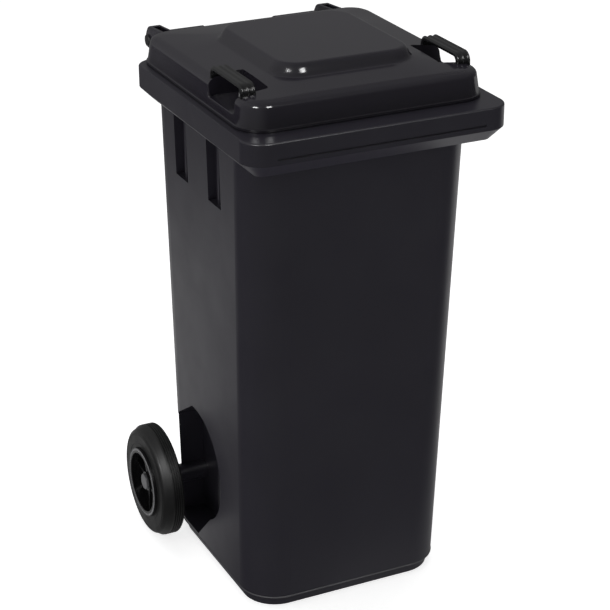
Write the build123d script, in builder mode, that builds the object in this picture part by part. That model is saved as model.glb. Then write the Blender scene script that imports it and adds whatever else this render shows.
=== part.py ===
from build123d import *
import math
import os

# Two-wheeled waste bin. Millimetres, +Z up, front towards -Y, width along X.
# The origin is on the ground, at the middle of the overall box.

# ---------------------------------------------------------------- overall
overall_depth = 550.0  # front of the rim to the back of the hinge loops
rim_width = 442.0
rim_depth = 469.5
rim_top = 862.0
wall = 4.0
past = 1.0  # cutters reach this far beyond the face they cut
bond = 1.0  # joined shapes reach this far into each other

# ---------------------------------------------------------------- rim
rim_height = 58.0
rim_corner = 36.0
rim_chamfer = 22.0  # the lower part of the rim band leans in by this much
rim_edge_round = 3.0
side_overhang = 26.0  # rim beyond the body wall at each side
front_overhang = 53.5
rear_overhang = 1.2
side_step = 1.5  # the side bands are set back behind the front corners
side_step_start = 37.0  # behind the front of the rim
groove_drop = 27.0  # groove line below the top of the rim
groove_width = 3.0
groove_depth = 2.2
groove_end = 46.0  # from the side of the rim to the end of the groove
rib_thickness = 4.0
rim_rib_end = 53.0  # from the side of the rim to the outer ribs of the lifting channel

# ---------------------------------------------------------------- body
body_corner = 65.0
side_draft = 16.0  # each side, from the rim down to the foot
front_draft = 42.5
rear_draft = 3.0
foot_height = 17.5
foot_inset = 8.5
floor_thickness = 5.0

# ---------------------------------------------------------------- side slots
slot_centres = (-71.5, 61.5)
slot_length = 50.0
slot_drop = 165.0  # bottom of the slots below the top of the rim
slot_depth = 14.0
slot_rib_width = 7.0
slot_rib_height = 7.0

# ---------------------------------------------------------------- wheels and axle
wheel_diameter = 200.0
tyre_width = 38.0
tyre_gap = 27.0  # body side at the foot to the tyre
hub_radius = 62.0
hub_proud = 5.0  # hub lip beyond the outer side of the tyre
hub_wall = 5.5
hub_lip_width = 3.0  # extra width of the lip, inwards
hub_lip_depth = 3.0
hub_web = 5.0
hub_web_set = 13.0  # web behind the hub's inner edge
spoke_inset = 2.0  # spokes behind the hub's inner edge
boss_radius = 17.0
spoke_count = 7
spoke_thickness = 5.0
spoke_setback = 13.0  # outer edge of the spokes inside the lip
axle_diameter = 20.0
axle_y = 156.5
axle_groove_depth = 2.0
axle_groove_width = 8.0
washer_thickness = 2.5
washer_radius = 18.0
cap_radius = 14.0
cap_setback = 4.0  # cap face inside the hub lip
cap_thickness = 4.0
running_clearance = 0.08  # radial, for a shaft that turns in a bore
seat_clearance = 0.05  # radial, for a shaft that is fixed in a bore
side_clearance = 0.5  # between the faces of pieces that turn past each other
tread_groove_depth = 1.6
tread_groove_width = 1.6
tread_groove_pitch = 4.0
tread_groove_count = 4
tyre_shoulder = 8.0
tyre_tread = 21.0  # straight tread, from the inner side
tyre_taper = 5.5  # the outer side of the tread falls by this much

# ---------------------------------------------------------------- wheel pockets
pocket_radius = 104.0
pocket_ahead = 98.5  # pocket centre in front of the axle
pocket_above = 75.0  # pocket centre above the axle
pocket_depth = 51.0  # deep part, from the body side at the foot
pocket_shallow = 39.0  # where the slanted front part ends
pocket_lip = 24.0  # lowest point of the pocket above the ground
pocket_behind = 3.0  # pocket behind the axle
pocket_roof_angle = 84.0  # degrees round the pocket, where the falling roof starts
pocket_low_angle = 242.0  # degrees round the pocket, where the lower edge starts
pocket_knee = 8.0  # slanted front part ends this far behind the pocket's centre
pocket_slope = 33.0  # degrees, the roof falls towards the rear
boss_wall = 7.0
boss_end_gap = 5.0  # boss end to the tyre side
channel_radius = 24.0
channel_rib_length = 72.0  # fore and aft, before the body trims it
channel_rib_x = 40.0

# ---------------------------------------------------------------- wheel latch
latch_pin_radius = 3.0
latch_tip_gap = 0.4
latch_collar_radius = 4.8
latch_collar_height = 2.5
latch_collar_out = 22.0  # collar's inner face from the axle centre
latch_spring_length = 9.0
latch_spring_wire = 0.6
latch_spring_turns = 5
latch_chamber_radius = 5.4
latch_chamber_gap = 0.5  # below the collar
latch_window_half = 4.3
latch_housing_wall = 2.2
latch_cap_height = 3.0
latch_knob_radius = 4.0
latch_knob_height = 3.0
latch_from_axle_end = 11.0

# ---------------------------------------------------------------- lid
lid_wall = 3.5
lid_ledge_side = 15.0  # rim showing beside the lid
lid_ledge_front = 43.0
lid_overhang_rear = 7.5
lid_corner = 46.0
lid_gap = 0.5
lid_skirt = 43.5
lid_draft = 7.0
lid_rise = 12.0  # shoulder up to the foot of the plateau
lid_shoulder_round = 11.0
plateau_half_width = 121.0
plateau_front = 59.0  # behind the shoulder's front edge
plateau_rear = 92.0  # in front of the shoulder's rear edge
plateau_corner = 48.0
plateau_height = 18.0
plateau_draft = 10.0
plateau_round = 6.0
lid_bead_height = 5.0
lid_bead_out = 1.2

# ---------------------------------------------------------------- lid grips
grip_in = 24.0  # grip centre inside the lid's side
grip_width = 25.0
grip_front = 44.0  # front of the grip behind the lid's front
grip_length = 118.0
grip_height = 18.5  # above the lid's shoulder
grip_thickness = 6.0
grip_corner = 14.0
grip_foot_depth = 16.0
grip_seat = 0.3  # between a grip's foot and its socket
grip_ridge = 1.6
grip_ridge_width = 3.2
grip_ridge_low = 5.0  # ridges start this far above the shoulder
grip_pocket_depth = 26.0  # below the shoulder
grip_pocket_inner = 62.0  # from the lid's side inwards
grip_pocket_margin = 10.0  # pocket end inside the grip's end
grip_pocket_round = 8.0

# ---------------------------------------------------------------- handles and hinge
hinge_above_rim = 10.0
eye_radius = 15.0
hinge_pin_diameter = 12.0
handle_radius = 13.0
handle_in = 79.0  # outer end of the handle bar inside the rim's side
handle_length = 76.0
bracket_thickness = 7.0
bracket_reach = 0.9  # share of the bar's radius that the brackets take in
bracket_root_drop = 40.0  # bracket's lower edge below the top of the rim
arm_gap = 4.0  # handle end to the lid's outer arm
arm_width = 20.0
arm_plate = 4.0
arm_under = 9.0  # underside of the arm below the hinge axis
arm_back_out = 7.5  # foot of the strap behind the hinge axis
arm_back_up = 12.0
arm_hump_ahead = 5.0  # top of the strap in front of the hinge axis
arm_hump_height = 26.0
arm_hump_round = 8.0
arm_hump_fall = 4.0
inner_arm_gap = 6.0
inner_arm_width = 10.0
inner_eye_radius = 11.0
pin_head_radius = 10.0
pin_head_thickness = 3.0
clip_width = 3.5
clip_gap = 1.5
clip_radius = 10.0

# ---------------------------------------------------------------- derived places
front_y = -overall_depth / 2
rim_rear = front_y + rim_depth
rim_bottom = rim_top - rim_height
body_half = rim_width / 2 - side_overhang
foot_half = body_half - side_draft
body_front = front_y + front_overhang
body_rear = rim_rear - rear_overhang
foot_front = body_front + front_draft
foot_rear = body_rear - rear_draft
axle_z = wheel_diameter / 2
axle_radius = axle_diameter / 2
tyre_inner_x = foot_half + tyre_gap
tyre_outer_x = tyre_inner_x + tyre_width
lip_x = tyre_outer_x + hub_proud
boss_end_x = tyre_inner_x - boss_end_gap
hub_boss_start = boss_end_x + washer_thickness + 2 * side_clearance
cap_face_x = lip_x - cap_setback
axle_end_x = cap_face_x - cap_thickness - side_clearance
latch_x = axle_end_x - latch_from_axle_end
lid_half = rim_width / 2 - lid_ledge_side
lid_front = front_y + lid_ledge_front
lid_rear = rim_rear + lid_overhang_rear
lid_bottom = rim_top + lid_gap
shoulder_z = lid_bottom + lid_skirt
plateau_z = shoulder_z + lid_rise
hinge_y = overall_depth / 2 - eye_radius
hinge_z = rim_top + hinge_above_rim
pin_radius = hinge_pin_diameter / 2
handle_outer_x = rim_width / 2 - handle_in
handle_inner_x = handle_outer_x - handle_length
arm_start_x = handle_outer_x + arm_gap
arm_end_x = arm_start_x + arm_width
inner_arm_end = handle_inner_x - inner_arm_gap
inner_arm_start = inner_arm_end - inner_arm_width
grip_x = lid_half - grip_in
grip_start_y = lid_front + grip_front
grip_end_y = grip_start_y + grip_length
grip_top = shoulder_z + grip_height
side_names = {-1: "left", 1: "right"}


def outline(half_width, front, rear, corner):
    """Rounded rectangle on the current sketch plane, from its edges."""
    with Locations((0, (front + rear) / 2)):
        RectangleRounded(2 * half_width, rear - front, corner)


def across(x):
    """Plane square to the width, with sketch axes Y and Z, at a place along X."""
    return Plane(origin=(x, 0, 0), x_dir=(0, 1, 0), z_dir=(1, 0, 0))


def write(piece, name):
    piece.label = name
    export_step(piece, f"parts/{name}.step")


def body_form(inset, bottom, top):
    """Tapered body between two heights, set in from the outer faces."""
    run = rim_top - foot_height
    with BuildPart() as form:
        for height in (bottom, top):
            share = (height - foot_height) / run
            with BuildSketch(Plane.XY.offset(height)):
                outline(
                    foot_half + side_draft * share - inset,
                    foot_front - front_draft * share + inset,
                    foot_rear + rear_draft * share - inset,
                    body_corner - inset,
                )
        loft()
    return form.part


def foot_form(inset, bottom):
    """Straight foot under the body, up to just inside it."""
    with BuildPart() as form:
        with BuildSketch(Plane.XY.offset(bottom)):
            outline(
                foot_half - foot_inset - inset,
                foot_front + foot_inset + inset,
                foot_rear - foot_inset - inset,
                body_corner - foot_inset - inset,
            )
        extrude(amount=foot_height - bottom + wall)
    return form.part


def rim_form(inset, top):
    """Rim band: upright above, leaning in below, set in from its outer faces."""
    knee = rim_bottom + rim_chamfer
    with BuildPart() as form:
        with BuildSketch(Plane.XY.offset(rim_bottom)):
            outline(
                rim_width / 2 - rim_chamfer - inset,
                front_y + rim_chamfer + inset,
                rim_rear - rim_chamfer - inset,
                rim_corner - rim_chamfer - inset,
            )
        with BuildSketch(Plane.XY.offset(knee)):
            outline(rim_width / 2 - inset, front_y + inset, rim_rear - inset, rim_corner - inset)
        loft()
        with BuildSketch(Plane.XY.offset(knee)):
            outline(rim_width / 2 - inset, front_y + inset, rim_rear - inset, rim_corner - inset)
        extrude(amount=top - knee)
    return form.part


def rim_band():
    """Hollow rim band, open below at the front, with its groove and stepped sides."""
    with BuildPart() as band:
        add(rim_form(0, rim_top))
        top_edges = band.edges().group_by(Axis.Z)[-1]
        fillet(top_edges, rim_edge_round)
        add(rim_form(wall, rim_top - wall), mode=Mode.SUBTRACT)
        step_start = front_y + side_step_start
        step_run = rim_depth
        for side in (-1, 1):
            with BuildSketch(Plane.XY.offset(rim_bottom)):
                with Locations((side * rim_width / 2, step_start + step_run / 2)):
                    Rectangle(2 * side_step, step_run)
            extrude(amount=rim_height, mode=Mode.SUBTRACT)
        with BuildSketch(Plane.XZ.offset(-front_y)):
            with Locations((0, rim_top - groove_drop)):
                Rectangle(rim_width - 2 * groove_end, groove_width)
        extrude(amount=-groove_depth, mode=Mode.SUBTRACT)
    return band.part


def pocket_form(side, grow):
    """Wheel pocket: a round front with a falling roof, shallow ahead and deep behind."""
    centre_y = axle_y - pocket_ahead
    centre_z = axle_z + pocket_above
    radius = pocket_radius + grow
    rear = axle_y + pocket_behind + grow
    lip = pocket_lip - grow
    roof_angle = math.radians(pocket_roof_angle)
    low_angle = math.radians(pocket_low_angle)
    roof = (centre_y + radius * math.cos(roof_angle), centre_z + radius * math.sin(roof_angle))
    low = (centre_y + radius * math.cos(low_angle), centre_z + radius * math.sin(low_angle))
    roof_end = roof[1] - (rear - roof[0]) * math.tan(math.radians(pocket_slope))
    outer = body_half + wall
    shallow = foot_half - pocket_shallow - grow
    deep = foot_half - pocket_depth - grow
    knee_y = centre_y + pocket_knee - grow
    front = centre_y - radius
    with BuildPart() as form:
        with BuildSketch(across(0)):
            with BuildLine():
                ThreePointArc(roof, (centre_y - radius, centre_z), low)
                Polyline(low, (low[0] + low[1] - lip, lip), (rear, lip), (rear, roof_end), roof)
            make_face()
        extrude(amount=side * outer)
        with BuildSketch(Plane.XY):
            Polygon(
                (side * outer, front),
                (side * (foot_half - grow), front),
                (side * shallow, knee_y),
                (side * deep, knee_y + pocket_depth - pocket_shallow),
                (side * deep, rear),
                (side * outer, rear),
                align=None,
            )
        extrude(amount=rim_bottom, mode=Mode.INTERSECT)
    return form.part


def slot_form(side, centre, grow):
    """Upright recess in the side, under the rim band."""
    bottom = rim_top - slot_drop - grow
    share = (bottom - foot_height) / (rim_top - foot_height)
    face = foot_half + side_draft * share
    inner = face - slot_depth - grow
    outer = body_half + wall
    with BuildPart() as form:
        with BuildSketch(Plane.XY.offset(bottom)):
            with Locations((side * (inner + outer) / 2, centre)):
                Rectangle(outer - inner, slot_length + 2 * grow)
        extrude(amount=rim_bottom + rim_chamfer - bottom)
    return form.part


def slot_rib(side, centre):
    """Upright rib at the back of a recess."""
    bottom = rim_top - slot_drop
    share = (bottom - foot_height) / (rim_top - foot_height)
    inner = foot_half + side_draft * share - slot_depth
    with BuildPart() as rib:
        with BuildSketch(Plane.XY.offset(bottom - wall / 2)):
            with Locations((side * (inner + (slot_rib_height - wall) / 2), centre)):
                Rectangle(slot_rib_height + wall, slot_rib_width)
        extrude(amount=rim_bottom + rim_chamfer - bottom + wall)
    return rib.part


def channel_form(grow):
    """Axle channel across the back, open to the rear."""
    radius = channel_radius + grow
    half = foot_half - pocket_depth - wall + grow
    with BuildPart() as form:
        with BuildSketch(across(-half)):
            with Locations((axle_y, axle_z)):
                Circle(radius)
            with Locations((axle_y + radius, axle_z)):
                Rectangle(2 * radius, 2 * radius)
        extrude(amount=2 * half)
    return form.part


def axle_bosses():
    """Tubes that carry the axle out to the wheels."""
    start = foot_half - pocket_depth - wall
    with BuildPart() as bosses:
        for side in (-1, 1):
            with BuildSketch(across(side * start)):
                with Locations((axle_y, axle_z)):
                    Circle(axle_radius + boss_wall)
            extrude(amount=side * (boss_end_x - start))
    return bosses.part


def channel_ribs(solid_body):
    """Upright ribs in the axle channel, trimmed to the body's outer form."""
    with BuildPart() as ribs:
        for x in (-channel_rib_x, channel_rib_x):
            with BuildSketch(across(x - rib_thickness / 2)):
                with Locations((axle_y + channel_radius / 2, axle_z)):
                    Rectangle(channel_rib_length, 2 * channel_radius + wall)
            extrude(amount=rib_thickness)
        add(solid_body, mode=Mode.INTERSECT)
    return ribs.part


def rim_ribs():
    """Upright ribs at both ends of the lifting channel, trimmed to the rim's form."""
    with BuildPart() as ribs:
        with BuildSketch(Plane.XZ.offset(-front_y)):
            for side in (-1, 1):
                with Locations((side * (rim_width / 2 - rim_rib_end), rim_top - rim_height / 2)):
                    Rectangle(rib_thickness, rim_height)
        extrude(amount=-front_overhang)
        add(rim_form(wall / 2, rim_top - wall / 2), mode=Mode.INTERSECT)
    return ribs.part


def handle(side):
    """Handle bar behind the rim with its two brackets, bored for the hinge pin."""
    root_y = rim_rear - wall
    root_low = rim_top - bracket_root_drop
    root_high = rim_top - wall
    reach = handle_radius * bracket_reach
    with BuildPart() as bar:
        with BuildSketch(across(side * handle_inner_x)):
            with Locations((hinge_y, hinge_z)):
                Circle(handle_radius)
        extrude(amount=side * handle_length)
        for x in (handle_inner_x, handle_outer_x - bracket_thickness):
            with BuildSketch(across(side * x)):
                Polygon(
                    (root_y, root_low),
                    (rim_rear + wall, root_low),
                    (hinge_y + reach / 2, hinge_z - reach),
                    (hinge_y - reach / 2, hinge_z + reach),
                    (lid_rear + lid_overhang_rear, root_high),
                    (root_y, root_high),
                    align=None,
                )
            extrude(amount=side * bracket_thickness)
    return bar.part


def tub():
    solid_body = body_form(0, foot_height, rim_top)
    with BuildPart() as shell:
        add(solid_body)
        add(foot_form(0, 0))
        add(rim_band())
        for side in (-1, 1):
            add(handle(side))
        add(body_form(wall, foot_height + wall, rim_top + past), mode=Mode.SUBTRACT)
        add(foot_form(wall, floor_thickness), mode=Mode.SUBTRACT)
        for side in (-1, 1):
            add(pocket_form(side, wall) & solid_body)
            for centre in slot_centres:
                add(slot_form(side, centre, wall) & solid_body)
        add(channel_form(wall) & solid_body)
        for side in (-1, 1):
            add(pocket_form(side, 0), mode=Mode.SUBTRACT)
            for centre in slot_centres:
                add(slot_form(side, centre, 0) & solid_body, mode=Mode.SUBTRACT)
                add(slot_rib(side, centre))
        add(channel_form(0), mode=Mode.SUBTRACT)
        add(axle_bosses())
        add(channel_ribs(solid_body))
        add(rim_ribs())
        with BuildSketch(across(-boss_end_x)):
            with Locations((axle_y, axle_z)):
                Circle(axle_radius + seat_clearance)
        extrude(amount=2 * boss_end_x, mode=Mode.SUBTRACT)
        with BuildSketch(across(-handle_outer_x)):
            with Locations((hinge_y, hinge_z)):
                Circle(pin_radius + seat_clearance)
        extrude(amount=2 * handle_outer_x, mode=Mode.SUBTRACT)
    write(shell.part, "tub")


def lid_form(inset, bottom):
    """Lid's closed form: skirt, sloping top and plateau, set in from its outer faces."""
    top_half = lid_half - lid_draft
    top_front = lid_front + lid_draft
    top_rear = lid_rear - lid_draft
    shoulder = shoulder_z - inset
    raised = plateau_z - inset
    crown = raised + plateau_height
    corner = lid_corner - inset
    base = (
        plateau_half_width - inset,
        top_front + plateau_front + inset,
        top_rear - plateau_rear - inset,
    )
    with BuildPart() as form:
        with BuildSketch(Plane.XY.offset(bottom)):
            outline(lid_half - inset, lid_front + inset, lid_rear - inset, corner)
        with BuildSketch(Plane.XY.offset(shoulder)):
            outline(top_half - inset, top_front + inset, top_rear - inset, corner - lid_draft)
        loft()
        with BuildSketch(Plane.XY.offset(shoulder)):
            outline(top_half - inset, top_front + inset, top_rear - inset, corner - lid_draft)
        with BuildSketch(Plane.XY.offset(raised)):
            outline(base[0], base[1], base[2], plateau_corner - inset)
        loft()
        shoulder_edges = form.edges().filter_by_position(Axis.Z, shoulder, shoulder)
        fillet(shoulder_edges, lid_shoulder_round - inset)
        with BuildSketch(Plane.XY.offset(raised - wall)):
            outline(base[0], base[1], base[2], plateau_corner - inset)
        with BuildSketch(Plane.XY.offset(crown)):
            outline(
                base[0] - plateau_draft,
                base[1] + plateau_draft,
                base[2] - plateau_draft,
                plateau_corner - plateau_draft - inset,
            )
        loft()
        fillet(form.edges().group_by(Axis.Z)[-1], plateau_round - inset / 2)
    return form.part


def grip_pocket(side, grow):
    """Hand recess in the lid's shoulder under a grip, open at the side and above."""
    start = grip_start_y + grip_pocket_margin - grow
    end = grip_end_y - grip_pocket_margin + grow
    inner = lid_half - grip_pocket_inner - grow
    floor = shoulder_z - grip_pocket_depth - grow
    outer = lid_half + lid_draft
    with BuildPart() as form:
        with BuildSketch(Plane.XY.offset(floor)):
            with Locations((side * (inner + outer) / 2, (start + end) / 2)):
                Rectangle(outer - inner, end - start)
        extrude(amount=plateau_z + lid_rise - floor)
        inner_edges = form.edges().filter_by(Axis.Z).sort_by(Axis.X)
        inner_pair = inner_edges[:2] if side > 0 else inner_edges[-2:]
        fillet(inner_pair, grip_pocket_round + grow)
    return form.part


def grip_arch(inset):
    """Closed outline of a grip's arch, set in from its outer line."""
    low = shoulder_z - grip_foot_depth
    with BuildLine() as arch:
        path = FilletPolyline(
            (grip_start_y + inset, low),
            (grip_start_y + inset, grip_top - inset),
            (grip_end_y - inset, grip_top - inset),
            (grip_end_y - inset, low),
            radius=grip_corner - inset,
        )
        Line(path @ 1, path @ 0)
    return arch.line


def grip_blank(side, width, swell, low_swell):
    """Solid arch of a grip, grown by swell; its feet reach low_swell further down."""
    with BuildPart() as blank:
        with BuildSketch(across(side * grip_x - width / 2)):
            add(grip_arch(-swell))
            make_face()
        extrude(amount=width)
        with BuildSketch(across(side * grip_x - width / 2)):
            add(grip_arch(grip_thickness + swell))
            make_face()
        extrude(amount=width, mode=Mode.SUBTRACT)
        with BuildSketch(Plane.XY.offset(shoulder_z - grip_foot_depth - low_swell)):
            for y in (grip_start_y, grip_end_y - grip_thickness):
                with Locations((side * grip_x, y + grip_thickness / 2)):
                    Rectangle(width, grip_thickness + 2 * swell)
        extrude(amount=low_swell + bond)
    return blank.part


def grip_sockets(side):
    """Blocks inside the lid that hold a grip's feet."""
    floor = shoulder_z - grip_pocket_depth - lid_wall
    with BuildPart() as blocks:
        with BuildSketch(Plane.XY.offset(floor)):
            for y in (grip_start_y, grip_end_y - grip_thickness):
                with Locations((side * grip_x, y + grip_thickness / 2)):
                    Rectangle(grip_width + 2 * lid_wall, grip_thickness + 2 * lid_wall)
        extrude(amount=plateau_z - floor)
    return blocks.part


def grip_ridges(side):
    """Three raised ridges along the top of a grip."""
    with BuildPart() as ridges:
        for step in (-1, 0, 1):
            x = side * grip_x + step * (grip_width - grip_ridge_width) / 2
            with BuildSketch(across(x - grip_ridge_width / 2)):
                add(grip_arch(-grip_ridge))
                make_face()
            extrude(amount=grip_ridge_width)
            with BuildSketch(across(x - grip_ridge_width / 2)):
                add(grip_arch(grip_thickness / 2))
                make_face()
            extrude(amount=grip_ridge_width, mode=Mode.SUBTRACT)
        with BuildSketch(Plane.XY.offset(shoulder_z + grip_ridge_low)):
            Rectangle(2 * rim_width, 2 * overall_depth)
        extrude(amount=grip_height, mode=Mode.INTERSECT)
    return ridges.part


def lid_grip(side):
    with BuildPart() as grip:
        add(grip_blank(side, grip_width, 0, 0))
        add(grip_ridges(side))
    write(grip.part, f"lid_grip_{side_names[side]}")


def outer_arm(side):
    """Lid arm outside a handle: two plates joined by a humped strap, with an eye for the pin."""
    hump_y = hinge_y - arm_hump_ahead
    hump_z = hinge_z + arm_hump_height
    root = lid_rear - lid_wall - lid_draft / 2
    back = (hinge_y + arm_back_out, hinge_z + arm_back_up)
    with BuildPart() as arm:
        with BuildSketch(across(side * arm_start_x)):
            Polygon(
                (root, lid_bottom + lid_draft),
                (lid_rear, lid_bottom + lid_draft),
                (hinge_y - eye_radius, hinge_z - arm_under),
                (hinge_y, hinge_z - arm_under),
                back,
                (hump_y + arm_hump_round, hump_z - arm_hump_fall),
                (hump_y, hump_z),
                (lid_rear, shoulder_z - lid_wall),
                (root, shoulder_z - lid_wall),
                align=None,
            )
            with Locations((hinge_y, hinge_z)):
                Circle(eye_radius)
        extrude(amount=side * arm_width)
        with BuildSketch(across(side * (arm_start_x + arm_plate))):
            Polygon(
                (lid_rear + arm_plate, lid_bottom),
                (hinge_y + 2 * eye_radius, lid_bottom - eye_radius),
                (hinge_y + 2 * eye_radius, hinge_z),
                (back[0] - arm_plate, back[1] - arm_plate),
                (hump_y, hump_z - arm_plate),
                (hump_y - arm_hump_round, hump_z - arm_plate),
                (hump_y - arm_hump_round, hump_z + arm_hump_height),
                (lid_rear + arm_plate, hump_z + arm_hump_height),
                align=None,
            )
        extrude(amount=side * (arm_width - 2 * arm_plate), mode=Mode.SUBTRACT)
    return arm.part


def inner_arm(side):
    """Plain lid arm at the inner end of a handle."""
    root = lid_rear - lid_wall - lid_draft / 2
    with BuildPart() as arm:
        with BuildSketch(across(side * inner_arm_start)):
            Polygon(
                (root, lid_bottom + lid_draft),
                (lid_rear, lid_bottom + lid_draft),
                (hinge_y, hinge_z - inner_eye_radius),
                (hinge_y, hinge_z + inner_eye_radius),
                (lid_rear, hinge_z + 2 * inner_eye_radius),
                (root, hinge_z + 2 * inner_eye_radius),
                align=None,
            )
            with Locations((hinge_y, hinge_z)):
                Circle(inner_eye_radius)
        extrude(amount=side * inner_arm_width)
    return arm.part


def lid():
    solid_lid = lid_form(0, lid_bottom)
    with BuildPart() as cover:
        add(solid_lid)
        with BuildSketch(Plane.XY.offset(lid_bottom)):
            outline(
                lid_half + lid_bead_out,
                lid_front - lid_bead_out,
                lid_rear + lid_bead_out,
                lid_corner + lid_bead_out,
            )
        extrude(amount=lid_bead_height)
        add(lid_form(lid_wall, lid_bottom - past), mode=Mode.SUBTRACT)
        for side in (-1, 1):
            add(grip_pocket(side, lid_wall) & solid_lid)
            add(grip_sockets(side) & solid_lid)
            add(grip_pocket(side, 0), mode=Mode.SUBTRACT)
            add(grip_blank(side, grip_width + 2 * grip_seat, grip_seat, grip_seat), mode=Mode.SUBTRACT)
            add(outer_arm(side))
            add(inner_arm(side))
        with BuildSketch(across(-arm_end_x)):
            with Locations((hinge_y, hinge_z)):
                Circle(pin_radius + running_clearance)
        extrude(amount=2 * arm_end_x, mode=Mode.SUBTRACT)
    write(cover.part, "lid")


def hinge_pin(side):
    """Headed pin through the arm, the handle bar and the inner arm."""
    start = inner_arm_start - clip_gap - clip_width - clip_gap
    head_x = arm_end_x + side_clearance
    with BuildPart() as pin:
        with BuildSketch(across(side * start)):
            with Locations((hinge_y, hinge_z)):
                Circle(pin_radius)
        extrude(amount=side * (head_x - start))
        with BuildSketch(across(side * head_x)):
            with Locations((hinge_y, hinge_z)):
                Circle(pin_head_radius)
        extrude(amount=side * pin_head_thickness)
        head_faces = pin.faces().sort_by(Axis.X)
        outer_face = head_faces[-1] if side > 0 else head_faces[0]
        fillet(outer_face.edges(), pin_head_thickness / 2)
    write(pin.part, f"hinge_pin_{side_names[side]}")


def hinge_clip(side):
    """Push-on ring at the inner end of the pin."""
    with BuildPart() as clip:
        with BuildSketch(across(side * (inner_arm_start - clip_gap - clip_width))):
            with Locations((hinge_y, hinge_z)):
                Circle(clip_radius)
                Circle(pin_radius + seat_clearance, mode=Mode.SUBTRACT)
        extrude(amount=side * clip_width)
    write(clip.part, f"hinge_clip_{side_names[side]}")


def axle():
    """Round bar with a latch groove near each end."""
    with BuildPart() as bar:
        with BuildSketch(across(-axle_end_x)):
            with Locations((axle_y, axle_z)):
                Circle(axle_radius)
        extrude(amount=2 * axle_end_x)
        chamfer(bar.edges(), axle_groove_depth / 2)
        for side in (-1, 1):
            with BuildSketch(across(side * latch_x - axle_groove_width / 2)):
                with Locations((axle_y, axle_z)):
                    Circle(axle_radius + past)
                    Circle(axle_radius - axle_groove_depth, mode=Mode.SUBTRACT)
            extrude(amount=axle_groove_width, mode=Mode.SUBTRACT)
    write(bar.part, "axle")


def axle_line(side):
    """Sketch plane through the axle: first axis outwards, second axis up."""
    return Plane(origin=(0, axle_y, axle_z), x_dir=(side, 0, 0), z_dir=(0, -side, 0))


def turned(side, points):
    """Solid turned about the axle from points given as (distance out, radius)."""
    with BuildPart() as solid:
        with BuildSketch(axle_line(side)):
            Polygon(*points, align=None)
        revolve(axis=Axis((0, axle_y, axle_z), (1, 0, 0)))
    return solid.part


def latch_column(side, radius, low, high):
    """Upright cylinder on the latch's line, between two distances from the axle."""
    with BuildPart() as column:
        with BuildSketch(Plane.XY.offset(axle_z + low)):
            with Locations((side * latch_x, axle_y)):
                Circle(radius)
        extrude(amount=high - low)
    return column.part


def wheel_hub(side):
    """Dished hub: barrel with a lip, web, centre boss, spokes and the latch's housing."""
    spring_top = latch_collar_out + latch_collar_height + latch_spring_length
    housing = latch_chamber_radius + latch_housing_wall
    inner = hub_radius - hub_wall
    start = tyre_inner_x + side_clearance
    web_start = start + hub_web_set
    web_end = web_start + hub_web
    lip_start = lip_x - hub_lip_depth
    lip_radius = inner - hub_lip_width
    with BuildPart() as hub:
        barrel = [(start, inner), (start, hub_radius), (lip_x, hub_radius), (lip_x, inner)]
        lip = [(lip_start, lip_radius), (lip_start, hub_radius), (lip_x, hub_radius)]
        add(turned(side, barrel))
        add(turned(side, lip + [(lip_x, lip_radius)]))
        web = [(web_start, boss_radius - bond), (web_start, inner + bond)]
        add(turned(side, web + [(web_end, inner + bond), (web_end, boss_radius - bond)]))
        boss = [(hub_boss_start, 0), (hub_boss_start, boss_radius), (axle_end_x, boss_radius), (axle_end_x, 0)]
        add(turned(side, boss))
        first_spoke = 90 + 180 / spoke_count
        with BuildSketch(across(side * (start + spoke_inset))):
            with Locations((axle_y, axle_z)):
                with PolarLocations((boss_radius + inner) / 2, spoke_count, start_angle=first_spoke):
                    Rectangle(inner - boss_radius + 2 * bond, spoke_thickness)
        extrude(amount=side * (lip_x - spoke_setback - start - spoke_inset))
        add(latch_column(side, housing, boss_radius - 2 * bond, spring_top + latch_cap_height))
        chamber_low = latch_collar_out - latch_chamber_gap
        add(latch_column(side, latch_chamber_radius, chamber_low, spring_top), mode=Mode.SUBTRACT)
        bore = latch_pin_radius + running_clearance
        add(latch_column(side, bore, 0, inner), mode=Mode.SUBTRACT)
        with BuildSketch(across(side * latch_x)):
            with Locations((axle_y, axle_z + (latch_collar_out + spring_top) / 2)):
                Rectangle(2 * latch_window_half, spring_top - latch_collar_out - 2 * bond)
        extrude(amount=side * (housing + past), mode=Mode.SUBTRACT)
        with BuildSketch(across(side * hub_boss_start)):
            with Locations((axle_y, axle_z)):
                Circle(axle_radius + running_clearance)
        extrude(amount=side * (lip_x - hub_boss_start), mode=Mode.SUBTRACT)
    write(hub.part, f"wheel_hub_{side_names[side]}")


def tyre(side):
    """Solid tyre, tapered and rounded at its outer side, grooved towards its inner side."""
    bore = hub_radius + seat_clearance
    outer = wheel_diameter / 2
    with BuildPart() as ring:
        with BuildSketch(axle_line(side)) as section:
            Polygon(
                (tyre_inner_x, bore),
                (tyre_inner_x, outer),
                (tyre_inner_x + tyre_tread, outer),
                (tyre_outer_x, outer - tyre_taper),
                (tyre_outer_x, bore),
                align=None,
            )
            inner_pair, *_, outer_pair = section.vertices().group_by(Axis.X)
            fillet(outer_pair.sort_by(Axis.Y)[-1], tyre_shoulder)
            fillet(inner_pair.sort_by(Axis.Y)[-1], tyre_shoulder / 2)
        revolve(axis=Axis((0, axle_y, axle_z), (1, 0, 0)))
        floor = outer - tread_groove_depth
        for index in range(tread_groove_count):
            low = tyre_inner_x + tyre_shoulder / 2 + past + index * tread_groove_pitch
            high = low + tread_groove_width
            groove = [(low, floor), (low, outer + past), (high, outer + past), (high, floor)]
            add(turned(side, groove), mode=Mode.SUBTRACT)
    write(ring.part, f"tyre_{side_names[side]}")


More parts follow.
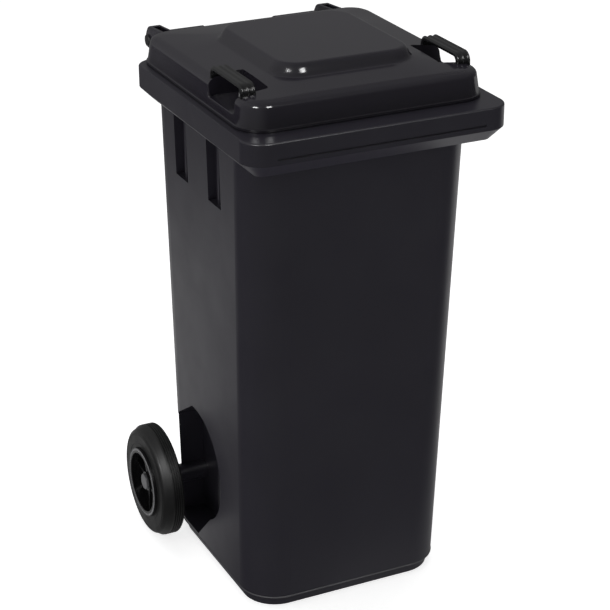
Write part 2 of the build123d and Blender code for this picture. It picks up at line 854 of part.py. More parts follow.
def axle_cap(side):
    """Push-on cap over the end of the boss."""
    with BuildPart() as cap:
        with BuildSketch(across(side * (cap_face_x - cap_thickness))):
            with Locations((axle_y, axle_z)):
                Circle(cap_radius)
        extrude(amount=side * cap_thickness)
        cap_faces = cap.faces().sort_by(Axis.X)
        outer_face = cap_faces[-1] if side > 0 else cap_faces[0]
        fillet(outer_face.edges(), cap_thickness / 3)
    write(cap.part, f"axle_cap_{side_names[side]}")


def wheel_washer(side):
    with BuildPart() as washer:
        with BuildSketch(across(side * (boss_end_x + side_clearance))):
            with Locations((axle_y, axle_z)):
                Circle(washer_radius)
                Circle(axle_radius + seat_clearance, mode=Mode.SUBTRACT)
        extrude(amount=side * washer_thickness)
    write(washer.part, f"wheel_washer_{side_names[side]}")


def latch_pin(side):
    """Sprung pin whose tip rides in the axle's groove."""
    tip = axle_radius - axle_groove_depth + latch_tip_gap
    spring_top = latch_collar_out + latch_collar_height + latch_spring_length
    knob_low = spring_top + latch_cap_height + side_clearance
    with BuildPart() as pin:
        add(latch_column(side, latch_pin_radius, tip, knob_low))
        collar_top = latch_collar_out + latch_collar_height
        add(latch_column(side, latch_collar_radius, latch_collar_out, collar_top))
        add(latch_column(side, latch_knob_radius, knob_low, knob_low + latch_knob_height))
    write(pin.part, f"latch_pin_{side_names[side]}")


def latch_spring(side):
    """Small coil spring above the pin's collar."""
    base = latch_collar_out + latch_collar_height + latch_spring_wire
    height = latch_spring_length - 2 * latch_spring_wire
    radius = latch_pin_radius + running_clearance + 2 * latch_spring_wire
    start = (side * latch_x + radius, axle_y, axle_z + base)
    with BuildPart() as spring:
        with BuildLine(Plane(origin=(side * latch_x, axle_y, axle_z + base))):
            Helix(pitch=height / latch_spring_turns, height=height, radius=radius)
        with BuildSketch(Plane(origin=start, z_dir=(0, 1, 0))):
            Circle(latch_spring_wire / 2)
        sweep(is_frenet=True)
    write(spring.part, f"latch_spring_{side_names[side]}")


os.makedirs("parts", exist_ok=True)
tub()
lid()
axle()
for side in side_names:
    lid_grip(side)
    hinge_pin(side)
    hinge_clip(side)
    wheel_hub(side)
    tyre(side)
    axle_cap(side)
    wheel_washer(side)
    latch_pin(side)
    latch_spring(side)
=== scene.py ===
import math

import bpy
import numpy as np
from mathutils import Matrix, Vector


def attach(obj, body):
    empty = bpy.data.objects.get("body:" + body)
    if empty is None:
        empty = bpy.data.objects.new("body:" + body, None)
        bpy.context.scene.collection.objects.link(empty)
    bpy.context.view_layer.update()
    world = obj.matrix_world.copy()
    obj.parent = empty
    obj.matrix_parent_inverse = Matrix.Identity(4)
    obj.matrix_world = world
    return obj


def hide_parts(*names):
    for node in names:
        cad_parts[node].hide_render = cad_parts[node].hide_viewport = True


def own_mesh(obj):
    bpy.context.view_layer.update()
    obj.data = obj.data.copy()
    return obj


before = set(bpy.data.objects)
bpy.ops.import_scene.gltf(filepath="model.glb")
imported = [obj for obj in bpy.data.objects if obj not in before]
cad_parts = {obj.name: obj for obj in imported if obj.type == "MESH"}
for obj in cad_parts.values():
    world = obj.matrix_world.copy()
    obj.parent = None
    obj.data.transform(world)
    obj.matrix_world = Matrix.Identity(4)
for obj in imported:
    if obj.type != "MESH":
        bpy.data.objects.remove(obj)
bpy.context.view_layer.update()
print("stage: frame loaded,", len(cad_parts), "nodes")

# the pieces' dictionaries are in millimetres; the camera, the studio and the meshes are in metres
mm = 0.001

# camera: back along one direction from a target on the bin, long lens, small shift
view = {
    "azimuth": -25.48,    # degrees, from the front towards the left side
    "elevation": 24.43,
    "roll": -0.17,
    "distance": 3.2906,   # metres from the target
    "target": (0.0, 0.0062, 0.4419),
    "lens": 114.9,
    "shift": (0.0013, 0.0130),
    "sensor": 36.0,       # width, millimetres
    "clip": (0.1, 60.0),
}


def makeCamera():
    # location = target + distance * direction(azimuth, elevation); it looks back along that direction
    a, e = math.radians(view["azimuth"]), math.radians(view["elevation"])
    back = Vector((math.sin(a) * math.cos(e), -math.cos(a) * math.cos(e), math.sin(e)))
    data = bpy.data.cameras.new("binCamera")
    data.lens = view["lens"]
    data.sensor_width = view["sensor"]
    data.shift_x, data.shift_y = view["shift"]
    data.clip_start, data.clip_end = view["clip"]
    camera = bpy.data.objects.new("binCamera", data)
    bpy.context.scene.collection.objects.link(camera)
    turn = (-back).to_track_quat("-Z", "Y").to_matrix().to_4x4()
    roll = Matrix.Rotation(math.radians(view["roll"]), 4, "Z")
    place = Matrix.Translation(Vector(view["target"]) + back * view["distance"])
    camera.matrix_world = place @ turn @ roll
    bpy.context.scene.camera = camera


# studio: white backdrop, dim in front, large soft light from the left and above
studio = {
    "white": (1.0, 1.0, 1.0, 1.0),
    "backdrop": 1.0,
    "base": 0.10,         # light from every side
    "washes": (
        # axis of the direction, span over which it rises, strength: from the left, the rear and above
        ("X", (0.1, -0.8), 0.22),
        ("Y", (0.0, 0.9), 0.05),
        ("Z", (0.0, 0.9), 0.16),
    ),
    "floorSize": 14.0,
    "floorTone": 0.90,
    "floorGlow": 0.76,
    "sheenAlong": (2.1, 1.0, 0.0),      # in reflections the floor brightens along this direction
    "sheenSpan": (-0.57, -0.19),
    "sheen": (0.02, 0.56),
    "sheenFront": (-0.35, 0.10),        # and fades out towards the front between these Y
    "sheenFar": (1.25, 2.0),            # and far behind the bin between these Y
    "sheenLeft": 0.30,                  # to this share of itself
    "boxes": ("boxLeft", "boxRight"),   # seen in reflections only; the other lamps only light the scene
    "lamps": (
        # name, place, target, size (x, y), watts
        ("softLeft", (-2.9, 0.6, 1.3), (0.0, 0.0, 0.4), (1.8, 1.8), 8.0),
        ("boxLeft", (-2.75, -2.0, 3.1), (0.0, -0.2, 0.8), (1.15, 1.15), 95.0),
        ("boxRight", (0.35, -3.1, 3.1), (0.0, -0.2, 0.8), (1.15, 1.15), 95.0),
        ("overhead", (0.3, 0.6, 3.2), (0.0, 0.0, 0.8), (2.6, 2.2), 30.0),
    ),
}


def addNode(tree, kind, **settings):
    # one shader node with its input values and attributes set by name
    node = tree.nodes.new(kind)
    for name, value in settings.items():
        if name in node.inputs:
            node.inputs[name].default_value = value
        else:
            setattr(node, name, value)
    return node


def addRange(tree, span, values, **settings):
    # value = first + (second - first) * share of the span that the input has passed
    node = addNode(tree, "ShaderNodeMapRange", **settings)
    node.inputs["From Min"].default_value, node.inputs["From Max"].default_value = span
    node.inputs["To Min"].default_value, node.inputs["To Max"].default_value = values
    return node


def joinNodes(tree, *links):
    # each link is (node, output, node, input), the sockets by name or number
    for source, output, target, entry in links:
        tree.links.new(source.outputs[output], target.inputs[entry])


def makeWorld():
    # world light = base + left * f(-x) + rear * f(y) + above * f(z) of the ray's direction; rays from the
    # camera see the white backdrop instead
    world = bpy.data.worlds.new("studioWorld")
    world.use_nodes = True
    tree = world.node_tree
    tree.nodes.clear()
    coords = addNode(tree, "ShaderNodeTexCoord")
    split = addNode(tree, "ShaderNodeSeparateXYZ")
    joinNodes(tree, (coords, "Generated", split, 0))
    base, total = studio["base"], None
    for axis, span, gain in studio["washes"]:
        wash = addRange(tree, span, (base, base + gain), interpolation_type="SMOOTHSTEP")
        joinNodes(tree, (split, axis, wash, "Value"))
        if total is None:
            base, total = 0.0, wash
            continue
        both = addNode(tree, "ShaderNodeMath", operation="ADD")
        joinNodes(tree, (total, 0, both, 0), (wash, 0, both, 1))
        total = both
    path = addNode(tree, "ShaderNodeLightPath")
    lit = addNode(tree, "ShaderNodeBackground", Color=studio["white"])
    seen = addNode(tree, "ShaderNodeBackground", Color=studio["white"], Strength=studio["backdrop"])
    mix = addNode(tree, "ShaderNodeMixShader")
    out = addNode(tree, "ShaderNodeOutputWorld")
    joinNodes(tree, (total, 0, lit, "Strength"), (path, "Is Camera Ray", mix, 0), (lit, 0, mix, 1),
              (seen, 0, mix, 2), (mix, 0, out, "Surface"))
    bpy.context.scene.world = world


def makeFloor():
    # pale matt paint, but rays off a glossy surface see sheen * fade to the front * fade far behind
    half, tone = studio["floorSize"] / 2, studio["floorTone"]
    mesh = bpy.data.meshes.new("floor")
    corners = [(-half, -half, 0), (half, -half, 0), (half, half, 0), (-half, half, 0)]
    mesh.from_pydata(corners, [], [(0, 1, 2, 3)])
    floor = bpy.data.objects.new("floor", mesh)
    bpy.context.scene.collection.objects.link(floor)
    paint = bpy.data.materials.new("paleFloor")
    paint.use_nodes = True
    tree = paint.node_tree
    shader = tree.nodes["Principled BSDF"]
    shader.inputs["Base Color"].default_value = (tone, tone, tone, 1.0)
    shader.inputs["Roughness"].default_value = 1.0
    shader.inputs["Specular IOR Level"].default_value = 0.0
    shader.inputs["Emission Color"].default_value = studio["white"]
    shader.inputs["Emission Strength"].default_value = studio["floorGlow"]
    path = addNode(tree, "ShaderNodeLightPath")
    coords = addNode(tree, "ShaderNodeTexCoord")
    along = addNode(tree, "ShaderNodeVectorMath", operation="DOT_PRODUCT")
    along.inputs[1].default_value = studio["sheenAlong"]
    split = addNode(tree, "ShaderNodeSeparateXYZ")
    rise = addRange(tree, studio["sheenSpan"], studio["sheen"])
    front = addRange(tree, studio["sheenFront"], (studio["sheen"][0], 1.0))
    far = addRange(tree, studio["sheenFar"], (1.0, studio["sheenLeft"]))
    near = addNode(tree, "ShaderNodeMath", operation="MULTIPLY")
    fade = addNode(tree, "ShaderNodeMath", operation="MULTIPLY")
    sheen = addNode(tree, "ShaderNodeEmission")
    either = addNode(tree, "ShaderNodeMixShader")
    joinNodes(tree, (coords, "Object", along, 0), (coords, "Object", split, 0),
              (along, "Value", rise, "Value"), (split, "Y", front, "Value"), (split, "Y", far, "Value"),
              (rise, 0, near, 0), (front, 0, near, 1), (near, 0, fade, 0),
              (far, 0, fade, 1), (fade, 0, sheen, "Strength"),
              (path, "Is Glossy Ray", either, 0), (shader, 0, either, 1), (sheen, 0, either, 2),
              (either, 0, tree.nodes["Material Output"], "Surface"))
    mesh.materials.append(paint)


def makeLamps():
    # rectangular lamps, each turned to look along target - place
    for name, place, target, size, watts in studio["lamps"]:
        data = bpy.data.lights.new(name, "AREA")
        data.shape = "RECTANGLE"
        data.size, data.size_y = size
        data.energy = watts
        lamp = bpy.data.objects.new(name, data)
        bpy.context.scene.collection.objects.link(lamp)
        lamp.location = place
        lamp.visible_glossy = name in studio["boxes"]
        lamp.visible_diffuse = name not in studio["boxes"]
        lamp.rotation_mode = "QUATERNION"
        lamp.rotation_quaternion = (Vector(target) - Vector(place)).to_track_quat("-Z", "Y")


makeCamera()
makeWorld()
makeFloor()
makeLamps()
bpy.context.scene.view_settings.view_transform = "Standard"
print("stage: camera and studio")

# finishes: colours mottled from dark to light, roughness in patches of hazeScale, and a fine moulded grain as
# a bump of strength bump and height depth
noiseSizes = {
    "broad": {"Detail": 4.0, "Roughness": 0.55},
    "haze": {"Detail": 5.0, "Roughness": 0.6},
    "grain": {"Detail": 2.0, "Roughness": 0.5},
    "hazeSpan": (0.3, 0.7),   # haze values that give the two ends of the roughness
}
finishes = {
    "tubPlastic": {"dark": (0.0195, 0.0178, 0.0255), "light": (0.0262, 0.0243, 0.0335), "mottle": 5.0,
                   "rough": (0.29, 0.36), "hazeScale": 14.0, "grain": 160.0, "bump": 0.04, "depth": 0.05},
    "lidPlastic": {"dark": (0.0175, 0.0155, 0.0225), "light": (0.0235, 0.0212, 0.0290), "mottle": 4.0,
                   "rough": (0.10, 0.15), "hazeScale": 10.0, "grain": 300.0, "bump": 0.03, "depth": 0.05},
    "gripPlastic": {"dark": (0.007, 0.007, 0.008), "light": (0.012, 0.012, 0.013), "mottle": 20.0,
                    "rough": (0.16, 0.24), "hazeScale": 40.0, "grain": 2500.0, "bump": 0.05, "depth": 0.05},
    "pinPlastic": {"dark": (0.012, 0.012, 0.013), "light": (0.020, 0.020, 0.022), "mottle": 30.0,
                   "rough": (0.40, 0.55), "hazeScale": 60.0, "grain": 2200.0, "bump": 0.12, "depth": 0.08},
    "hubPlastic": {"dark": (0.006, 0.006, 0.0065), "light": (0.011, 0.011, 0.0115), "mottle": 25.0,
                   "rough": (0.17, 0.26), "hazeScale": 45.0, "grain": 2000.0, "bump": 0.14, "depth": 0.10},
    "lipPlastic": {"dark": (0.16, 0.16, 0.17), "light": (0.24, 0.24, 0.25), "mottle": 35.0,
                   "rough": (0.40, 0.55), "hazeScale": 60.0, "grain": 2000.0, "bump": 0.14, "depth": 0.10},
    # the foot bead's colour, far lighter than the tub's, is a painted highlight along the foot's edge
    "footEdge": {"dark": (0.045, 0.044, 0.050), "light": (0.100, 0.098, 0.106), "mottle": 18.0,
                 "rough": (0.34, 0.46), "hazeScale": 40.0, "grain": 900.0, "bump": 0.08, "depth": 0.06},
    "capPlastic": {"dark": (0.10, 0.10, 0.105), "light": (0.15, 0.15, 0.155), "mottle": 40.0,
                   "rough": (0.35, 0.50), "hazeScale": 60.0, "grain": 2000.0, "bump": 0.12, "depth": 0.08},
    "tyreRubber": {"dark": (0.0055, 0.0055, 0.0058), "light": (0.0095, 0.0095, 0.0098), "mottle": 22.0,
                   "rough": (0.40, 0.52), "hazeScale": 50.0, "grain": 900.0, "bump": 0.22, "depth": 0.15},
    "washerPlastic": {"dark": (0.020, 0.020, 0.020), "light": (0.030, 0.030, 0.030), "mottle": 40.0,
                      "rough": (0.50, 0.65), "hazeScale": 60.0, "grain": 2000.0, "bump": 0.12, "depth": 0.08},
    "platedSteel": {"dark": (0.42, 0.43, 0.45), "light": (0.58, 0.58, 0.57), "mottle": 60.0, "metal": 1.0,
                    "rough": (0.30, 0.44), "hazeScale": 90.0, "grain": 1800.0, "bump": 0.10, "depth": 0.06},
}


def makeFinish(name):
    # colour = mix(dark, light, broad noise); roughness = mix(low, high, haze noise); normal = grain as bump
    spec = finishes[name]
    material = bpy.data.materials.new(name)
    material.use_nodes = True
    tree = material.node_tree
    shader = tree.nodes["Principled BSDF"]
    shader.inputs["Metallic"].default_value = spec.get("metal", 0.0)
    coords = addNode(tree, "ShaderNodeTexCoord")
    broad = addNode(tree, "ShaderNodeTexNoise", Scale=spec["mottle"], **noiseSizes["broad"])
    haze = addNode(tree, "ShaderNodeTexNoise", Scale=spec["hazeScale"], **noiseSizes["haze"])
    grain = addNode(tree, "ShaderNodeTexNoise", Scale=spec["grain"], **noiseSizes["grain"])
    # the colour sockets of this node are inputs 6 and 7 and output 2
    tone = addNode(tree, "ShaderNodeMix", data_type="RGBA")
    tone.inputs[6].default_value = (*spec["dark"], 1.0)
    tone.inputs[7].default_value = (*spec["light"], 1.0)
    sheen = addRange(tree, noiseSizes["hazeSpan"], spec["rough"])
    bump = addNode(tree, "ShaderNodeBump", Strength=spec["bump"], Distance=spec["depth"] * mm)
    joinNodes(tree, *((coords, "Object", noise, "Vector") for noise in (broad, haze, grain)))
    joinNodes(tree, (broad, "Fac", tone, "Factor"), (tone, 2, shader, "Base Color"),
              (haze, "Fac", sheen, "Value"), (sheen, 0, shader, "Roughness"),
              (grain, "Fac", bump, "Height"), (bump, 0, shader, "Normal"))
    return material


finish = {name: makeFinish(name) for name in finishes}
nodeFinish = {
    "tub": "tubPlastic", "lid": "lidPlastic", "lid_grip": "gripPlastic", "hinge_pin": "pinPlastic",
    "hinge_clip": "pinPlastic", "axle": "platedSteel", "wheel_hub": "hubPlastic", "tyre": "tyreRubber",
    "axle_cap": "capPlastic", "wheel_washer": "washerPlastic", "latch_pin": "platedSteel",
    "latch_spring": "platedSteel",
}
for nodeName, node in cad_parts.items():
    kind = nodeName.replace("_left", "").replace("_right", "")
    node.data.materials.clear()
    node.data.materials.append(finish[nodeFinish[kind]])
print("stage: finishes on", len(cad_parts), "nodes")
sides = {"left": -1, "right": 1}


# mesh helpers: every shape is made of whole arrays of points, (rows, columns, 3)
def gridFaces(grid, closeRows=False, closeColumns=False):
    # quads between neighbouring rows and columns of an index grid
    if closeRows:
        grid = np.concatenate([grid, grid[:1]], axis=0)
    if closeColumns:
        grid = np.concatenate([grid, grid[:, :1]], axis=1)
    return np.stack([grid[:-1, :-1], grid[:-1, 1:], grid[1:, 1:], grid[1:, :-1]], axis=-1).reshape(-1, 4)


def fanFaces(loop, pole):
    # triangles from a closed loop of indices to one pole, as quads with a repeated last corner
    following = np.roll(loop, -1)
    poles = np.full_like(loop, pole)
    return np.stack([loop, following, poles, poles], axis=-1)


def makePiece(name, shells, finishName, body, sharp=40.0):
    # one object from closed shells of (points, faces), a face with a repeated corner being a triangle; signed
    # volume = sum of normal * (corner - middle), and a shell where it comes out negative is turned
    allPoints, allFaces, start = [], [], 0
    for points, faces in shells:
        corners = points[faces]
        first = np.cross(corners[:, 1] - corners[:, 0], corners[:, 2] - corners[:, 0])
        second = np.cross(corners[:, 2] - corners[:, 0], corners[:, 3] - corners[:, 0])
        middle = points.mean(axis=0)
        volume = ((first + second) * (corners[:, 0] - middle)).sum()
        allFaces.append((faces if volume > 0 else faces[:, ::-1]) + start)
        allPoints.append(points)
        start += len(points)
    points, faces = np.concatenate(allPoints) * mm, np.concatenate(allFaces)
    quads = faces[faces[:, 2] != faces[:, 3]]
    quads = quads[quads[:, 0] != quads[:, 1]]
    loose = faces[(faces[:, 2] == faces[:, 3]) & (faces[:, 1] != faces[:, 2])][:, :3]
    turned = faces[(faces[:, 0] == faces[:, 1]) & (faces[:, 2] != faces[:, 3])][:, 1:]
    triangles = np.concatenate([loose, turned])
    mesh = bpy.data.meshes.new(name)
    mesh.from_pydata(points, [], quads.tolist() + triangles.tolist())
    mesh.validate()
    mesh.shade_smooth()
    mesh.set_sharp_from_angle(angle=math.radians(sharp))
    mesh.materials.append(finish[finishName])
    piece = bpy.data.objects.new(name, mesh)
    bpy.context.scene.collection.objects.link(piece)
    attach(piece, body)
    return piece


def borderOf(grid):
    # the outer entries of a grid, in order once round its edge
    return np.concatenate([grid[0, :-1], grid[:-1, -1], grid[-1, :0:-1], grid[:0:-1, 0]])


def closedRings(rings):
    # tube of closed rings with both ends shut by a fan to the ring's centre
    rows, columns = rings.shape[:2]
    index = np.arange(rows * columns).reshape(rows, columns)
    points = np.concatenate([rings.reshape(-1, 3), rings[:1].mean(axis=1), rings[-1:].mean(axis=1)])
    faces = np.concatenate([
        gridFaces(index, closeColumns=True),
        fanFaces(index[0][::-1], rows * columns),
        fanFaces(index[-1], rows * columns + 1),
    ])
    return points, faces


def roundCorners(corners, reach, steps=6):
    # closed outline whose corners become parabolic arcs: start and end lie reach along the two edges
    corners = np.asarray(corners, float)
    before, after = np.roll(corners, 1, axis=0) - corners, np.roll(corners, -1, axis=0) - corners
    reach = np.broadcast_to(np.asarray(reach, float), len(corners))[:, None]
    start = corners + before / np.linalg.norm(before, axis=1, keepdims=True) * reach
    end = corners + after / np.linalg.norm(after, axis=1, keepdims=True) * reach
    t = np.linspace(0.0, 1.0, steps)[None, :, None]
    arc = (1 - t) ** 2 * start[:, None] + 2 * t * (1 - t) * corners[:, None] + t ** 2 * end[:, None]
    return arc.reshape(-1, corners.shape[1])


def insetOutline(outline, inset):
    # outline moved inwards along the mean of its edge normals
    along = np.roll(outline, -1, axis=0) - np.roll(outline, 1, axis=0)
    normal = np.stack([-along[:, 1], along[:, 0]], axis=1)
    normal /= np.maximum(np.linalg.norm(normal, axis=1, keepdims=True), 1e-9)
    area = (outline[:, 0] * np.roll(outline[:, 1], -1) - np.roll(outline[:, 0], -1) * outline[:, 1]).sum()
    return outline + normal * inset * (1 if area > 0 else -1)


def plate(outline, low, high, edge=1.2):
    # outline in (Y, Z) swept along X from low to high, its two rims rounded by edge in quarter circles
    turn = np.linspace(0.0, math.pi / 2, 4)
    inset = np.concatenate([edge * (1 - np.sin(turn)), edge * (1 - np.sin(turn[::-1]))])
    place = np.concatenate([low + edge * (1 - np.cos(turn)), high - edge * (1 - np.cos(turn[::-1]))])
    rings = np.stack([insetOutline(outline, depth) for depth in inset])
    along = np.broadcast_to(place[:, None, None], rings.shape[:2] + (1,))
    return closedRings(np.concatenate([along, rings], axis=2))


def signedDistance(point, outline):
    # distance from points (N, 2) to a closed outline, positive inside, with the nearest outline point
    start, end = outline, np.roll(outline, -1, axis=0)
    edge = end - start
    offset = point[:, None] - start[None]
    share = np.clip((offset * edge).sum(-1) / np.maximum((edge ** 2).sum(-1), 1e-12), 0.0, 1.0)
    near = start + share[..., None] * edge
    gap = np.linalg.norm(point[:, None] - near, axis=-1)
    best = gap.argmin(axis=1)
    rows = np.arange(len(point))
    crosses = (start[None, :, 1] > point[:, None, 1]) != (end[None, :, 1] > point[:, None, 1])
    slope = edge[:, 0] / np.where(edge[:, 1] == 0, 1e-12, edge[:, 1])
    where = start[None, :, 0] + slope * (point[:, None, 1] - start[None, :, 1])
    inside = (crosses & (point[:, None, 0] < where)).sum(axis=1) % 2 == 1
    return np.where(inside, 1.0, -1.0) * gap[rows, best], near[rows, best]


def snapTo(point, outline, reach):
    # points closer to the outline than reach move onto it; returns the points and which lie inside
    low, high = outline.min(axis=0) - reach, outline.max(axis=0) + reach
    box = (point > low).all(axis=1) & (point < high).all(axis=1)
    inside = np.zeros(len(point), bool)
    moved = point.copy()
    if box.any():
        distance, near = signedDistance(point[box], outline)
        close = np.abs(distance) < reach
        moved[box] = np.where(close[:, None], near, point[box])
        inside[box] = (distance > 0) & ~close
    return moved, inside


def spread(*stops):
    # evenly spaced numbers from stop to stop, by about the step between them: (start, step, next, step, end)
    parts = [np.linspace(a, b, max(2, int(round(abs(b - a) / step)) + 1))[:-1]
             for a, step, b in zip(stops[:-2:2], stops[1:-1:2], stops[2::2])]
    return np.concatenate(parts + [np.array([stops[-1]])])


def revolve(profile, centre, steps=160):
    # closed profile of (distance along X, radius) turned about the X axis through centre (y, z)
    angle = np.linspace(0.0, 2 * math.pi, steps, endpoint=False)[:, None]
    x = np.broadcast_to(profile[None, :, 0], (steps, len(profile)))
    y = centre[0] + profile[None, :, 1] * np.cos(angle)
    z = centre[1] + profile[None, :, 1] * np.sin(angle)
    rings = np.stack([x, y, z], axis=-1)
    index = np.arange(steps * len(profile)).reshape(steps, len(profile))
    return rings.reshape(-1, 3), gridFaces(index, closeRows=True, closeColumns=True)


# lid: a sheet with a raised plateau, a skirt with a bead along its lower edge, and a pocket under each grip
lidSizes = {
    "half": 206.0, "front": -232.0, "rear": 202.0, "corner": 46.0,
    "bottom": 862.5, "shoulder": 906.0, "draft": 7.0, "round": 11.0, "roundSteps": 6, "wall": 3.5,
    "bead": (1.2, 5.0),            # out, height
    "lowEdge": 0.6,                # bevel under the bead
    "topEdge": 0.5,                # bevel on top of it
    "beadFoot": 0.3,               # rise from the bead to the skirt
    "leastOut": 0.4,               # the inner skin stays this far outside its sheet
    "skirtSteps": (6.0, 1.6, 5.0),     # row spacing below, beside and above the pocket's floor
    "floorBand": (1.0, 3.0),           # the close rows reach this far below and above the floor
    "rise": 12.0,
    "plateau": (121.0, -166.0, 103.0, 48.0),   # half width, front, rear, corner at its foot
    "plateauHeight": 18.0, "plateauDraft": 10.0, "plateauRound": 8.0, "footRound": 2.5,
    "pocket": (144.0, -178.0, -80.0, 8.0, 880.0),   # inner x, front, rear, corner, floor z
    "pocketPast": 30.0,            # the pocket's outline runs on past the lid's side
    "pocketEnd": 1.0, "pocketSteps": 8,
    "snap": 1.25,                  # points this close to the pocket's outline move onto it
    "fine": 2.6,
}


def boxDistance(x, y, half, front, rear, corner):
    # how far a point lies inside a rounded rectangle, negative outside
    middle, length = (front + rear) / 2, (rear - front) / 2
    qx, qy = np.abs(x) - half + corner, np.abs(y - middle) - length + corner
    return corner - np.hypot(np.maximum(qx, 0), np.maximum(qy, 0)) - np.minimum(np.maximum(qx, qy), 0)


def roundedSheet(x, y, half, front, rear, corner):
    # a rectangular grid of points pulled in at its corners: a square to disc map inside each corner square
    a = np.clip((np.abs(x) - half + corner) / corner, 0, 1)
    b = np.clip(np.maximum(front + corner - y, y - rear + corner) / corner, 0, 1)
    both = (a > 0) & (b > 0)
    newA, newB = a * np.sqrt(1 - b ** 2 / 2), b * np.sqrt(1 - a ** 2 / 2)
    nearFront = y < (front + rear) / 2
    squareY = np.where(nearFront, front + corner - newB * corner, rear - corner + newB * corner)
    return (np.where(both, np.sign(x) * (half - corner + newA * corner), x), np.where(both, squareY, y))


def smooth(t):
    # 3t^2 - 2t^3 between 0 and 1
    t = np.clip(t, 0, 1)
    return t * t * (3 - 2 * t)


def softMin(a, b, width):
    # the lower of two heights with the edge between them rounded over width
    h = np.clip(0.5 + 0.5 * (b - a) / width, 0, 1)
    return b + (a - b) * h - width * h * (1 - h)


def lidHeight(x, y, inset):
    # shoulder + slope towards the plateau's foot + plateau, each step rounded; inset lowers and shrinks it
    c = lidSizes
    half, front, rear, corner = c["plateau"]
    draft = c["draft"]
    edge = boxDistance(x, y, c["half"] - draft, c["front"] + draft, c["rear"] - draft, c["corner"] - draft)
    foot = boxDistance(x, y, half - inset, front + inset, rear - inset, corner - inset)
    slope = np.clip(edge / np.maximum(edge - foot, 1e-6), 0, 1)
    ground = c["shoulder"] - inset + c["rise"] * np.where(foot > 0, 1.0, slope)
    blend = c["footRound"]
    wall = np.where(foot < blend, np.maximum(foot + blend, 0) ** 2 / (4 * blend), foot)
    top = c["shoulder"] - inset + c["rise"] + c["plateauHeight"]
    return softMin(ground + wall * c["plateauHeight"] / c["plateauDraft"], top, c["plateauRound"])


def lidLayer(gridX, gridY, box, inset, rows):
    # sheet of points at lidHeight, and round it rows of (offset outwards, height) from the sheet's plain edge
    half, front, rear, corner = box
    sheetX, sheetY = roundedSheet(gridX, gridY, half, front, rear, corner)
    sheetX = sheetX * (1 - inset / half)
    sheet = np.stack([sheetX, sheetY, lidHeight(sheetX, sheetY, inset)], axis=-1)
    rim = borderOf(sheet)[:, :2]
    anchorX = np.clip(rim[:, 0], corner - half, half - corner)
    anchorY = np.clip(rim[:, 1], front + corner, rear - corner)
    away = rim - np.stack([anchorX, anchorY], axis=1)
    away /= np.maximum(np.linalg.norm(away, axis=1, keepdims=True), 1e-9)
    skirt = [np.column_stack([rim + away * out, np.full(len(rim), height)]) for out, height in rows]
    return sheet, np.stack(skirt)


def carvePockets(points, grow):
    # points inside a pocket's plan and above its floor drop to the floor; grow is the depth of the inner skin
    c = lidSizes
    pocketX, pocketFront, pocketRear, pocketCorner, floor = c["pocket"]
    past, end = c["half"] + c["pocketPast"], c["pocketEnd"]
    corners = [(pocketX, pocketFront), (pocketX, pocketRear), (past, pocketRear), (past, pocketFront)]
    outline = roundCorners(corners, (pocketCorner, pocketCorner, end, end), c["pocketSteps"])
    outline += grow * np.sign(outline - np.array([c["half"], (pocketFront + pocketRear) / 2]))
    flat = points.reshape(-1, 3).copy()
    high = flat[:, 2] > floor - grow
    moved, inside = snapTo(np.column_stack([np.abs(flat[:, 0]), flat[:, 1]]), outline, c["snap"])
    sign = np.where(flat[:, 0] < 0, -1.0, 1.0)
    flat[high, 0], flat[high, 1] = (moved[:, 0] * sign)[high], moved[high, 1]
    flat[inside & high, 2] = floor - grow
    return flat.reshape(points.shape)


def skirtRows():
    # (offset outwards, height): the bevelled bead, then out = round + draft * share of the way down, then a
    # quarter round
    c = lidSizes
    bottom, shoulder, draft, reach, floor = c["bottom"], c["shoulder"], c["draft"], c["round"], c["pocket"][4]
    bead, beadHeight = c["bead"]
    past, beadTop = reach + draft, bottom + beadHeight
    rows = [(past + bead - c["lowEdge"], bottom), (past + bead, bottom + c["lowEdge"]),
            (past + bead, beadTop - c["topEdge"]), (past + bead - c["topEdge"], beadTop),
            (past - c["topEdge"], beadTop + c["beadFoot"])]
    below, beside, above = c["skirtSteps"]
    bandLow, bandHigh = floor - c["floorBand"][0], floor + c["floorBand"][1]
    heights = spread(beadTop, below, bandLow, beside, bandHigh, above, shoulder - reach)
    rows += [(reach + draft * (shoulder - h) / (shoulder - bottom), h) for h in heights[1:]]
    lastOut = reach + draft * reach / (shoulder - bottom)
    turn = np.linspace(0.0, math.pi / 2, c["roundSteps"] + 1)[1:-1]
    return rows + [(lastOut * math.cos(a), shoulder - reach + reach * math.sin(a)) for a in turn]


def lidShell():
    # one closed skin: outer sheet, skirt rows down to the bead, bottom edge, inner skirt rows, inner sheet
    c = lidSizes
    margin, wall = c["draft"] + c["round"], c["wall"]
    half, front, rear = c["half"] - margin, c["front"] + margin, c["rear"] - margin
    box = (half, front, rear, c["corner"] - margin)
    xs = spread(0.0, c["fine"], half)
    gridX, gridY = np.meshgrid(np.concatenate([-xs[:0:-1], xs]), spread(front, c["fine"], rear))
    rows = skirtRows()
    innerRows = [(max(out - wall, c["leastOut"]), max(h - wall, c["bottom"])) for out, h in rows]
    sheet, skirt = (carvePockets(part, 0.0) for part in lidLayer(gridX, gridY, box, 0.0, rows))
    innerLayer = lidLayer(gridX, gridY, box, wall, innerRows)
    innerSheet, innerSkirt = (carvePockets(part, wall) for part in innerLayer)
    index = np.arange(gridX.size).reshape(gridX.shape)
    border = borderOf(index)
    outerRings = gridX.size + np.arange(len(rows) * len(border)).reshape(len(rows), -1)
    inward = gridX.size + outerRings.size     # the inner skin's points follow all of the outer skin's
    loops = np.concatenate([border[None], outerRings[::-1], outerRings + inward, border[None] + inward])
    points = np.concatenate([part.reshape(-1, 3) for part in (sheet, skirt, innerSheet, innerSkirt)])
    faces = np.concatenate([
        gridFaces(index),
        gridFaces(loops, closeColumns=True)[:, ::-1],
        gridFaces(index + inward)[:, ::-1],
    ])
    return points, faces


